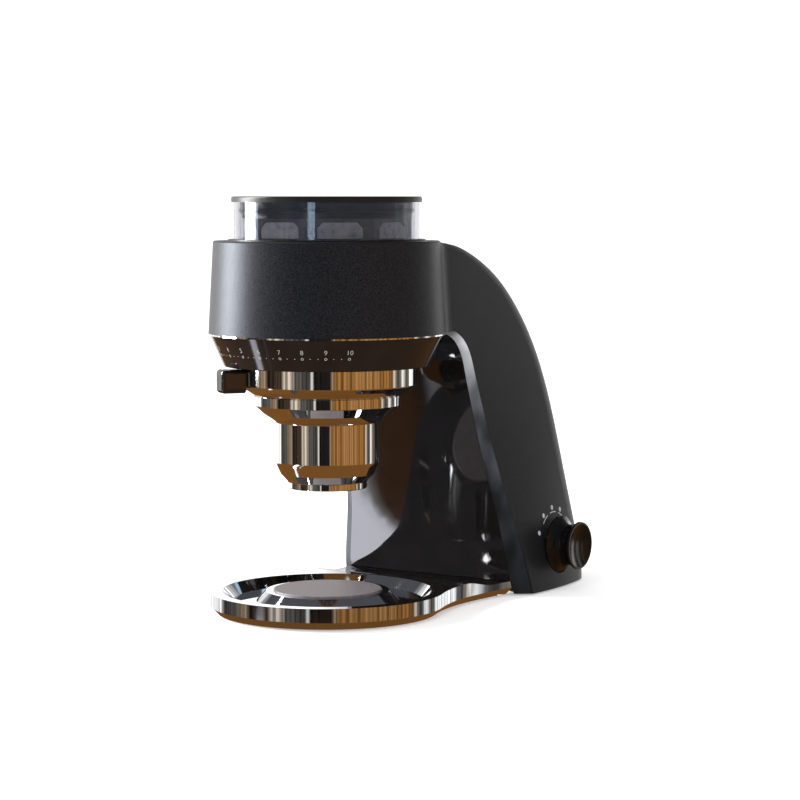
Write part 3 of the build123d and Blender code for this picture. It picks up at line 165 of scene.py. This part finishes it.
def black_chrome():
    """Dark satin strip round the arch, with a painted reflection in its colour: pale and wavy where it turns
    over at the top, dark lower down.
    """
    material, tree, shader = new_material("black_chrome", Specular_Tint=(0.45, 0.75, 1.0, 1))
    coords = node(tree, "ShaderNodeTexCoord")
    split = node(tree, "ShaderNodeSeparateXYZ")
    tree.links.new(coords.outputs["Object"], split.inputs["Vector"])
    # height on the strip drives its painted reflection
    rise = node(tree, "ShaderNodeMapRange")
    rise.inputs["From Min"].default_value = 0.0
    rise.inputs["From Max"].default_value = STRIP_REFLECTION_TOP
    tree.links.new(split.outputs["Z"], rise.inputs["Value"])
    reflection_tone = ramp(tree, rise.outputs["Result"], STRIP_PAINTED_REFLECTION)
    painted_waves = noise(tree, 55, detail=1.5, stretch=(1, 1, 0.55))
    mix = node(tree, "ShaderNodeMix", data_type="RGBA", blend_type="MULTIPLY")
    mix.inputs["Factor"].default_value = 1.0
    tree.links.new(reflection_tone, mix.inputs[6])
    tree.links.new(ramp(tree, painted_waves, STRIP_PAINTED_WAVES), mix.inputs[7])
    tree.links.new(mix.outputs[2], shader.inputs["Base Color"])
    grain = noise(tree, 900)
    tree.links.new(ramp(tree, grain, [(0.3, 0.26), (0.7, 0.36)]), shader.inputs["Roughness"])
    return material


def smoked_clear():
    """Smoked see-through plastic of the hopper, with faint moulding streaks."""
    material, tree, shader = new_material(
        "smoked_clear",
        IOR=1.35,
        Specular_IOR_Level=0.34,
        Specular_Tint=(0.6, 0.8, 1.0, 1),
        Transmission_Weight=1.0,
    )
    streaks = noise(tree, 40, stretch=(1, 1, 0.3))
    smoke = ramp(tree, streaks, [(0.3, (0.46, 0.46, 0.50)), (0.7, (0.60, 0.60, 0.64))])
    tree.links.new(smoke, shader.inputs["Base Color"])
    tree.links.new(ramp(tree, streaks, [(0.3, 0.02), (0.7, 0.05)]), shader.inputs["Roughness"])
    return material


MATERIALS["smoked_clear"] = smoked_clear()
MATERIALS["black_chrome"] = black_chrome()

for entry in frame["record"]["subparts"]:
    data = NODES[entry["node"]].data
    data.materials.clear()
    data.materials.append(MATERIALS[entry["material_slot"]])

# the tray is plated darker than the turned pieces above it
NODES["base_casting"].data.materials[0] = surface(
    "tray_chrome", (0.56, 0.58, 0.61), (0.64, 0.66, 0.69), 0.03, 0.07, 70, Metallic=1.0
)
# the knob is a softer black than the polished skins
NODES["timer_knob"].data.materials[0] = surface(
    "knob_black", (0.002, 0.002, 0.002), (0.004, 0.0038, 0.0036), 0.12, 0.2, 220, Specular_IOR_Level=0.35
)


# ------------------------------------------------------------ mesh helpers
def add_mesh(name, vertices, faces, material, body, slot):
    mesh = bpy.data.meshes.new(name)
    mesh.from_pydata(vertices, [], faces)
    mesh.update()
    made = bpy.data.objects.new(name, mesh)
    bpy.context.scene.collection.objects.link(made)
    mesh.materials.append(material)
    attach(made, body)
    return made


# ------------------------------------------------------------ print on the dial
CAP_SHARE = 0.7  # height of a digit over the font's size
THINNING = -0.012  # how far the digits' outline is drawn in, over the font's size


def flat_text(text, height):
    """Outline of a text as flat faces: points of (x, y) centred on the text, and faces."""
    curve = bpy.data.curves.new("text", "FONT")
    curve.body = text
    curve.size = height / CAP_SHARE
    curve.align_x = "CENTER"
    curve.resolution_u = 3
    curve.offset = THINNING * curve.size
    made = bpy.data.objects.new("text", curve)
    bpy.context.scene.collection.objects.link(made)
    bpy.context.view_layer.update()
    mesh = bpy.data.meshes.new_from_object(made.evaluated_get(bpy.context.evaluated_depsgraph_get()))
    points = [(v.co.x, v.co.y) for v in mesh.vertices]
    faces = [tuple(p.vertices) for p in mesh.polygons]
    bpy.data.objects.remove(made)
    bpy.data.meshes.remove(mesh)
    return points, faces


def flat_disc(radius, hole=0.0, steps=20):
    """Round disc, or a ring if it has a hole: points of (x, y) and faces."""
    turns = [2 * math.pi * k / steps for k in range(steps)]
    ring = [(radius * math.cos(turn), radius * math.sin(turn)) for turn in turns]
    if not hole:
        return ring, [tuple(range(steps))]
    inner = [(x * hole / radius, y * hole / radius) for x, y in ring]
    faces = [(k, (k + 1) % steps, steps + (k + 1) % steps, steps + k) for k in range(steps)]
    return ring + inner, faces


DIAL_LOW_R, DIAL_HIGH_R = 56.9 * MM, 64.2 * MM
DIAL_LOW_Z, DIAL_HIGH_Z = (137.6 * MM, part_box("dial_ring")[1].z)
PRINT_PROUD = 0.03 * MM
NUMBER_STEP = math.radians(11.95)
LAST_NUMBER_AT = math.radians(46.8)
NUMBER_Z, CIRCLE_Z = 146.4 * MM, 144.2 * MM
DIGIT_HIGH = 2.7 * MM
CIRCLE_R, CIRCLE_HOLE_R, DOT_R = 0.75 * MM, 0.5 * MM, 0.24 * MM


def on_dial(angle, height, shapes):
    """Points of flat shapes laid on the dial's cone at an angle from -Y towards +X and a height."""
    slant = math.atan2(DIAL_HIGH_R - DIAL_LOW_R, DIAL_HIGH_Z - DIAL_LOW_Z)
    placed = []
    for x, y in shapes:
        z = height + y * math.cos(slant)
        radius = DIAL_LOW_R + (z - DIAL_LOW_Z) * math.tan(slant) + PRINT_PROUD
        turn = angle + x / radius
        placed.append((radius * math.sin(turn), -radius * math.cos(turn), z))
    return placed


def dial_marks():
    """White numbers 1 to 10, a small circle under each and two dots between them."""
    vertices, faces = [], []

    def put(angle, height, shape):
        points, shape_faces = shape
        start = len(vertices)
        vertices.extend(on_dial(angle, height, points))
        faces.extend([tuple(start + k for k in face) for face in shape_faces])

    for number in range(1, 11):
        angle = LAST_NUMBER_AT - (10 - number) * NUMBER_STEP
        put(angle, NUMBER_Z, flat_text(str(number), DIGIT_HIGH))
        put(angle, CIRCLE_Z, flat_disc(CIRCLE_R, CIRCLE_HOLE_R))
        if number < 10:
            for part in (1, 2):
                put(angle + NUMBER_STEP * part / 3, CIRCLE_Z, flat_disc(DOT_R, steps=12))
    return vertices, faces


white_print = surface("white_print", (0.34, 0.33, 0.32), (0.46, 0.45, 0.44), 0.35, 0.45, 800)
add_mesh("dial_numbers", *dial_marks(), white_print, "housing", "dial_print")


# ------------------------------------------------------------ windows of the bean funnel
FUNNEL_SIDES = 8
PANE_SUNK = 0.45 * MM  # the pane's face below the funnel's flat
PANE_THICK = 0.7 * MM
PANE_DROP = 7.4 * MM  # the pane's middle below the funnel's top
PANE_OUTLINE_MM = [(-12.1, -4.1), (12.1, -4.1), (12.1, 1.5), (9.1, 4.5), (-9.1, 4.5), (-12.1, 1.5)]


def funnel_windows():
    """Pale panes with cut upper corners that fill the recesses in the eight sides of the funnel."""
    low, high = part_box("bean_funnel")
    reach = (high.x - low.x) / 2 - PANE_SUNK
    middle = high.z - PANE_DROP
    vertices, faces = [], []
    for side in range(FUNNEL_SIDES):
        turn = 2 * math.pi / FUNNEL_SIDES * side
        out, along = (math.cos(turn), math.sin(turn)), (-math.sin(turn), math.cos(turn))
        start = len(vertices)
        for depth in (reach, reach - PANE_THICK):
            for x, z in PANE_OUTLINE_MM:
                place = [out[k] * depth + along[k] * x * MM for k in (0, 1)]
                vertices.append((*place, middle + z * MM))
        count = len(PANE_OUTLINE_MM)
        faces.append(tuple(start + k for k in range(count)))
        faces.append(tuple(start + count + k for k in reversed(range(count))))
        for k in range(count):
            after = (k + 1) % count
            faces.append((start + k, start + count + k, start + count + after, start + after))
    return vertices, faces


window_grey = surface("window_grey", (0.24, 0.24, 0.25), (0.36, 0.35, 0.35), 0.25, 0.35, 260)
add_mesh("funnel_windows", *funnel_windows(), window_grey, "hopper", "funnel_grey")


RIM_IN_R, RIM_OUT_R, RIM_DEEP = 44.3 * MM, 46.4 * MM, 2.2 * MM
RIM_UNDER_LID = 0.1 * MM


def funnel_rim():
    """Lip round the top of the funnel, which the lid's plug comes down to."""
    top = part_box("hopper_lid")[0].z - RIM_UNDER_LID
    low = top - RIM_DEEP
    section = [(RIM_IN_R, low), (RIM_OUT_R, low), (RIM_OUT_R, top), (RIM_IN_R, top)]
    steps = 128
    vertices, faces = [], []
    for step in range(steps):
        turn = 2 * math.pi * step / steps
        vertices += [(radius * math.cos(turn), radius * math.sin(turn), z) for radius, z in section]
    for step in range(steps):
        here, there = 4 * step, 4 * ((step + 1) % steps)
        faces += [(here + k, here + (k + 1) % 4, there + (k + 1) % 4, there + k) for k in range(4)]
    return vertices, faces


add_mesh("funnel_rim", *funnel_rim(), MATERIALS["satin_black"], "hopper", "funnel_grey")


# ------------------------------------------------------------ print round the timer knob
KNOB_AT = (146.0 * MM, 26.0 * MM)
DOT_PLACES = (157, 124, 92, 64, 36)  # degrees from the back, over the top, to the front
DOT_ORBIT = 21.2 * MM
MARK_DOT_R = 1.4 * MM
ARC_RADII = (18.3 * MM, 18.9 * MM)
ARC_SPANS = ((112, 136), (80, 102), (50, 70))


def on_flank(tree, points):
    """Points of (y, z) carried along X onto the housing's right side."""
    placed = []
    for y, z in points:
        hit = tree.ray_cast(Vector((0.2, y, z)), Vector((-1, 0, 0)))[0]
        placed.append((hit.x + PRINT_PROUD, y, z))
    return placed


def knob_marks():
    """Five dots round the knob, with short thin arcs under three of them."""
    housing = NODES["housing"]
    flank = BVHTree.FromPolygons(
        [v.co for v in housing.data.vertices], [tuple(p.vertices) for p in housing.data.polygons]
    )
    vertices, faces = [], []
    for angle in DOT_PLACES:
        turn = math.radians(angle)
        centre = (KNOB_AT[0] + DOT_ORBIT * math.cos(turn), KNOB_AT[1] + DOT_ORBIT * math.sin(turn))
        points, shape_faces = flat_disc(MARK_DOT_R)
        start = len(vertices)
        vertices.extend(on_flank(flank, [(centre[0] + x, centre[1] + y) for x, y in points]))
        faces.extend([tuple(start + k for k in face) for face in shape_faces])
    steps = 10
    for first, last in ARC_SPANS:
        start = len(vertices)
        turns = [math.radians(first + (last - first) * k / steps) for k in range(steps + 1)]
        for radius in ARC_RADII:
            ring = [(KNOB_AT[0] + radius * math.cos(a), KNOB_AT[1] + radius * math.sin(a)) for a in turns]
            vertices.extend(on_flank(flank, ring))
        outer = start + steps + 1
        faces += [(start + k, start + k + 1, outer + k + 1, outer + k) for k in range(steps)]
    return vertices, faces


mark_print = surface("mark_print", (0.34, 0.34, 0.36), (0.50, 0.50, 0.52), 0.4, 0.5, 900)
add_mesh("knob_marks", *knob_marks(), mark_print, "housing", "dial_print")


# ------------------------------------------------------------ stage, light and camera
FRONT_RIGHT = math.radians(54.5)  # half of a turn from here is where the room's ramp starts
TABLE_LEVEL = 0.44  # how far down the table's edges are where they were placed
CEILING = (0.10, 0.10, 0.11)
STREAKS = [(0.36, 0.45), (0.52, 1.0), (0.64, 1.5)]


def world_light():
    """Pale studio for diffuse light; glossy surfaces see a warm room with bright windows."""
    world = bpy.data.worlds.new("studio")
    bpy.context.scene.world = world
    world.use_nodes = True
    tree = world.node_tree
    tree.nodes.clear()
    output = node(tree, "ShaderNodeOutputWorld")
    plain = node(tree, "ShaderNodeBackground")
    plain.inputs["Color"].default_value = (1.0, 1.0, 1.0, 1)
    plain.inputs["Strength"].default_value = 1.0
    world.cycles.sampling_method = "NONE"
    room = node(tree, "ShaderNodeBackground")
    room.inputs["Strength"].default_value = 1.0
    coords = node(tree, "ShaderNodeTexCoord")
    split = node(tree, "ShaderNodeSeparateXYZ")
    tree.links.new(coords.outputs["Generated"], split.inputs["Vector"])
    turn = node(tree, "ShaderNodeMath", operation="ARCTAN2")
    tree.links.new(split.outputs["Y"], turn.inputs[0])
    tree.links.new(split.outputs["X"], turn.inputs[1])
    # around: the direction's place in a turn, rising anticlockwise seen from above
    shift = node(tree, "ShaderNodeMath", operation="ADD")
    shift.inputs[1].default_value = FRONT_RIGHT + math.pi
    tree.links.new(turn.outputs[0], shift.inputs[0])
    wrap = node(tree, "ShaderNodeMath", operation="WRAP")
    wrap.inputs[1].default_value = 2 * math.pi
    wrap.inputs[2].default_value = 0
    tree.links.new(shift.outputs[0], wrap.inputs[0])
    around = node(tree, "ShaderNodeMath", operation="DIVIDE")
    around.inputs[1].default_value = 2 * math.pi
    tree.links.new(wrap.outputs[0], around.inputs[0])
    wall = ramp(tree, around.outputs[0], ROOM_STOPS)
    # upright streaks: frames, chair backs and curtain folds in the room
    folds = node(tree, "ShaderNodeTexNoise", noise_dimensions="1D")
    folds.inputs["Scale"].default_value = 95.0
    folds.inputs["Detail"].default_value = 2.0
    tree.links.new(around.outputs[0], folds.inputs["W"])
    streaked = node(tree, "ShaderNodeMix", data_type="RGBA", blend_type="MULTIPLY")
    streaked.inputs["Factor"].default_value = 1.0
    tree.links.new(wall, streaked.inputs[6])
    tree.links.new(ramp(tree, folds.outputs["Fac"], STREAKS), streaked.inputs[7])
    height = node(tree, "ShaderNodeMapRange")
    height.inputs["From Min"].default_value = -1
    height.inputs["From Max"].default_value = 1
    tree.links.new(split.outputs["Z"], height.inputs["Value"])
    up = ramp(tree, height.outputs["Result"], [(0.60, 0.0), (0.72, 1.0)])
    down = ramp(tree, height.outputs["Result"], [(0.39, 1.0), (0.415, 0.0)])
    with_ceiling = node(tree, "ShaderNodeMix", data_type="RGBA")
    tree.links.new(up, with_ceiling.inputs["Factor"])
    tree.links.new(streaked.outputs[2], with_ceiling.inputs[6])
    with_ceiling.inputs[7].default_value = (*CEILING, 1)
    with_table = node(tree, "ShaderNodeMix", data_type="RGBA")
    tree.links.new(down, with_table.inputs["Factor"])
    tree.links.new(with_ceiling.outputs[2], with_table.inputs[6])
    things = node(tree, "ShaderNodeMix", data_type="RGBA")
    near = ramp(tree, height.outputs["Result"], [(0.16, 1.0), (0.19, 0.0)])
    tree.links.new(near, things.inputs["Factor"])
    # things on the table lean: their edges run towards the viewer as they come down
    lean = node(tree, "ShaderNodeMath", operation="MULTIPLY_ADD")
    lean.inputs[1].default_value = -TABLE_LEAN
    lean.inputs[2].default_value = -TABLE_LEAN * TABLE_LEVEL
    tree.links.new(split.outputs["Z"], lean.inputs[0])
    leaning = node(tree, "ShaderNodeMath", operation="ADD")
    tree.links.new(around.outputs[0], leaning.inputs[0])
    tree.links.new(lean.outputs[0], leaning.inputs[1])
    tree.links.new(ramp(tree, leaning.outputs[0], TABLE_STOPS), things.inputs[6])
    things.inputs[7].default_value = (*TABLE, 1)
    tree.links.new(things.outputs[2], with_table.inputs[7])
    tree.links.new(with_table.outputs[2], room.inputs["Color"])
    path = node(tree, "ShaderNodeLightPath")
    choose = node(tree, "ShaderNodeMixShader")
    tree.links.new(path.outputs["Is Glossy Ray"], choose.inputs["Fac"])
    tree.links.new(plain.outputs["Background"], choose.inputs[1])
    tree.links.new(room.outputs["Background"], choose.inputs[2])
    tree.links.new(choose.outputs["Shader"], output.inputs["Surface"])


def seen_at(degrees):
    """Place in the room's ramp of a direction, in degrees to the right of the viewer seen from the object."""
    return ((degrees + 180) % 360) / 360


AMBER = (0.30, 0.135, 0.035)
AMBER_PALE = (0.40, 0.20, 0.07)
DARK = (0.015, 0.012, 0.011)
BROWN = (0.07, 0.045, 0.03)
LIGHT_BROWN = (0.30, 0.22, 0.15)
WINDOW = (1.3, 1.28, 1.25)
CREAM = (0.62, 0.54, 0.44)
GREY = (0.10, 0.095, 0.085)
DEEP_GREY = (0.06, 0.058, 0.055)
PALE = (0.55, 0.53, 0.50)
TABLE = (0.20, 0.085, 0.022)
SHEET = (5.0, 5.0, 5.6)
LOW_SHEET = (0.9, 0.9, 1.0)
TABLE_LEAN = 0.1444  # turns that the table's edges shift by as the direction's Z falls by 1
# what lies on the table, low in front of the grinder's left side
TABLE_STOPS = [
    (seen_at(-88), TABLE),
    (seen_at(-86), SHEET),
    (seen_at(-79), SHEET),
    (seen_at(-77.6), (1.2, 1.15, 1.2)),
    (seen_at(-76.8), TABLE),
    (seen_at(-69.5), TABLE),
    (seen_at(-68), DARK),
    (seen_at(-67.2), DARK),
    (seen_at(-66.4), LOW_SHEET),
    (seen_at(-64.8), LOW_SHEET),
    (seen_at(-64), DARK),
    (seen_at(-60), TABLE),
]
ROOM_STOPS = [
    (seen_at(-179), WINDOW),
    (seen_at(-126), WINDOW),
    (seen_at(-122), DEEP_GREY),
    (seen_at(-99), GREY),
    (seen_at(-96), LIGHT_BROWN),
    (seen_at(-85), LIGHT_BROWN),
    (seen_at(-82), DARK),
    (seen_at(-60), BROWN),
    (seen_at(-57), CREAM),
    (seen_at(-45), CREAM),
    (seen_at(-42), GREY),
    (seen_at(-22), DEEP_GREY),
    (seen_at(-20.5), PALE),
    (seen_at(-18.5), PALE),
    (seen_at(-17), DARK),
    (seen_at(3), DARK),
    (seen_at(6), LIGHT_BROWN),
    (seen_at(11), AMBER),
    (seen_at(50), AMBER_PALE),
    (seen_at(90), AMBER),
    (seen_at(97), CREAM),
    (seen_at(101), DEEP_GREY),
    (seen_at(106), GREY),
    (seen_at(110), WINDOW),
    (seen_at(118), CREAM),
    (seen_at(120), GREY),
    (seen_at(127), GREY),
    (seen_at(131), WINDOW),
    (seen_at(179), WINDOW),
]


def floor():
    """Pale floor that curves up into a backdrop all round."""
    flat_r, wall_r, high, steps, rows = 2.2, 4.5, 4.5, 64, 12
    rises = [math.pi / 2 * k / rows for k in range(rows + 1)]
    bend = [(flat_r + (wall_r - flat_r) * math.sin(rise), high * (1 - math.cos(rise))) for rise in rises]
    turns = [2 * math.pi * k / steps for k in range(steps)]
    vertices = [(0.0, 0.0, 0.0)]
    for radius, z in bend:
        vertices += [(radius * math.cos(turn), radius * math.sin(turn), z) for turn in turns]
    faces = [(0, 1 + k, 1 + (k + 1) % steps) for k in range(steps)]
    for row in range(rows):
        low, up = 1 + row * steps, 1 + (row + 1) * steps
        faces += [(low + k, up + k, up + (k + 1) % steps, low + (k + 1) % steps) for k in range(steps)]
    mesh = bpy.data.meshes.new("floor")
    mesh.from_pydata(vertices, [], faces)
    for polygon in mesh.polygons:
        polygon.use_smooth = True
    made = bpy.data.objects.new("floor", mesh)
    bpy.context.scene.collection.objects.link(made)
    glow = {"Emission_Strength": 0.35, "Emission_Color": (1, 1, 1, 1)}
    pale = surface("floor_pale", (0.8, 0.8, 0.8), (0.83, 0.83, 0.83), 0.85, 0.9, 3, **glow)
    mesh.materials.append(pale)
    made.visible_glossy = False
    made.visible_diffuse = False


def area_light(name, place, target, size, power):
    light = bpy.data.lights.new(name, "AREA")
    light.shape = "RECTANGLE"
    light.size, light.size_y = size
    light.energy = power
    made = bpy.data.objects.new(name, light)
    bpy.context.scene.collection.objects.link(made)
    made.location = place
    made.rotation_euler = (Vector(target) - Vector(place)).to_track_quat("-Z", "Y").to_euler()
    return made


CAMERA_AT = (0.78266, -1.09725, 0.22920)
CAMERA_HEADING = 33.798  # degrees from +Y towards -X
CAMERA_TILT = 4.723  # degrees down
FOCAL = 110.565


def camera():
    data = bpy.data.cameras.new("camera")
    data.lens = FOCAL
    data.sensor_width = 36
    data.clip_start = 0.05
    made = bpy.data.objects.new("camera", data)
    bpy.context.scene.collection.objects.link(made)
    made.location = CAMERA_AT
    made.rotation_euler = (math.radians(90 - CAMERA_TILT), 0, math.radians(CAMERA_HEADING))
    bpy.context.scene.camera = made


world_light()
floor()
area_light("window", (0.62, -2.11, 0.55), (0, 0, 0.15), (0.35, 1.3), 24).visible_glossy = False
area_light("left", (-1.75, -0.55, 0.75), (0, 0.05, 0.12), (0.8, 1.6), 115)
camera()
bpy.context.scene.view_settings.view_transform = "Standard"
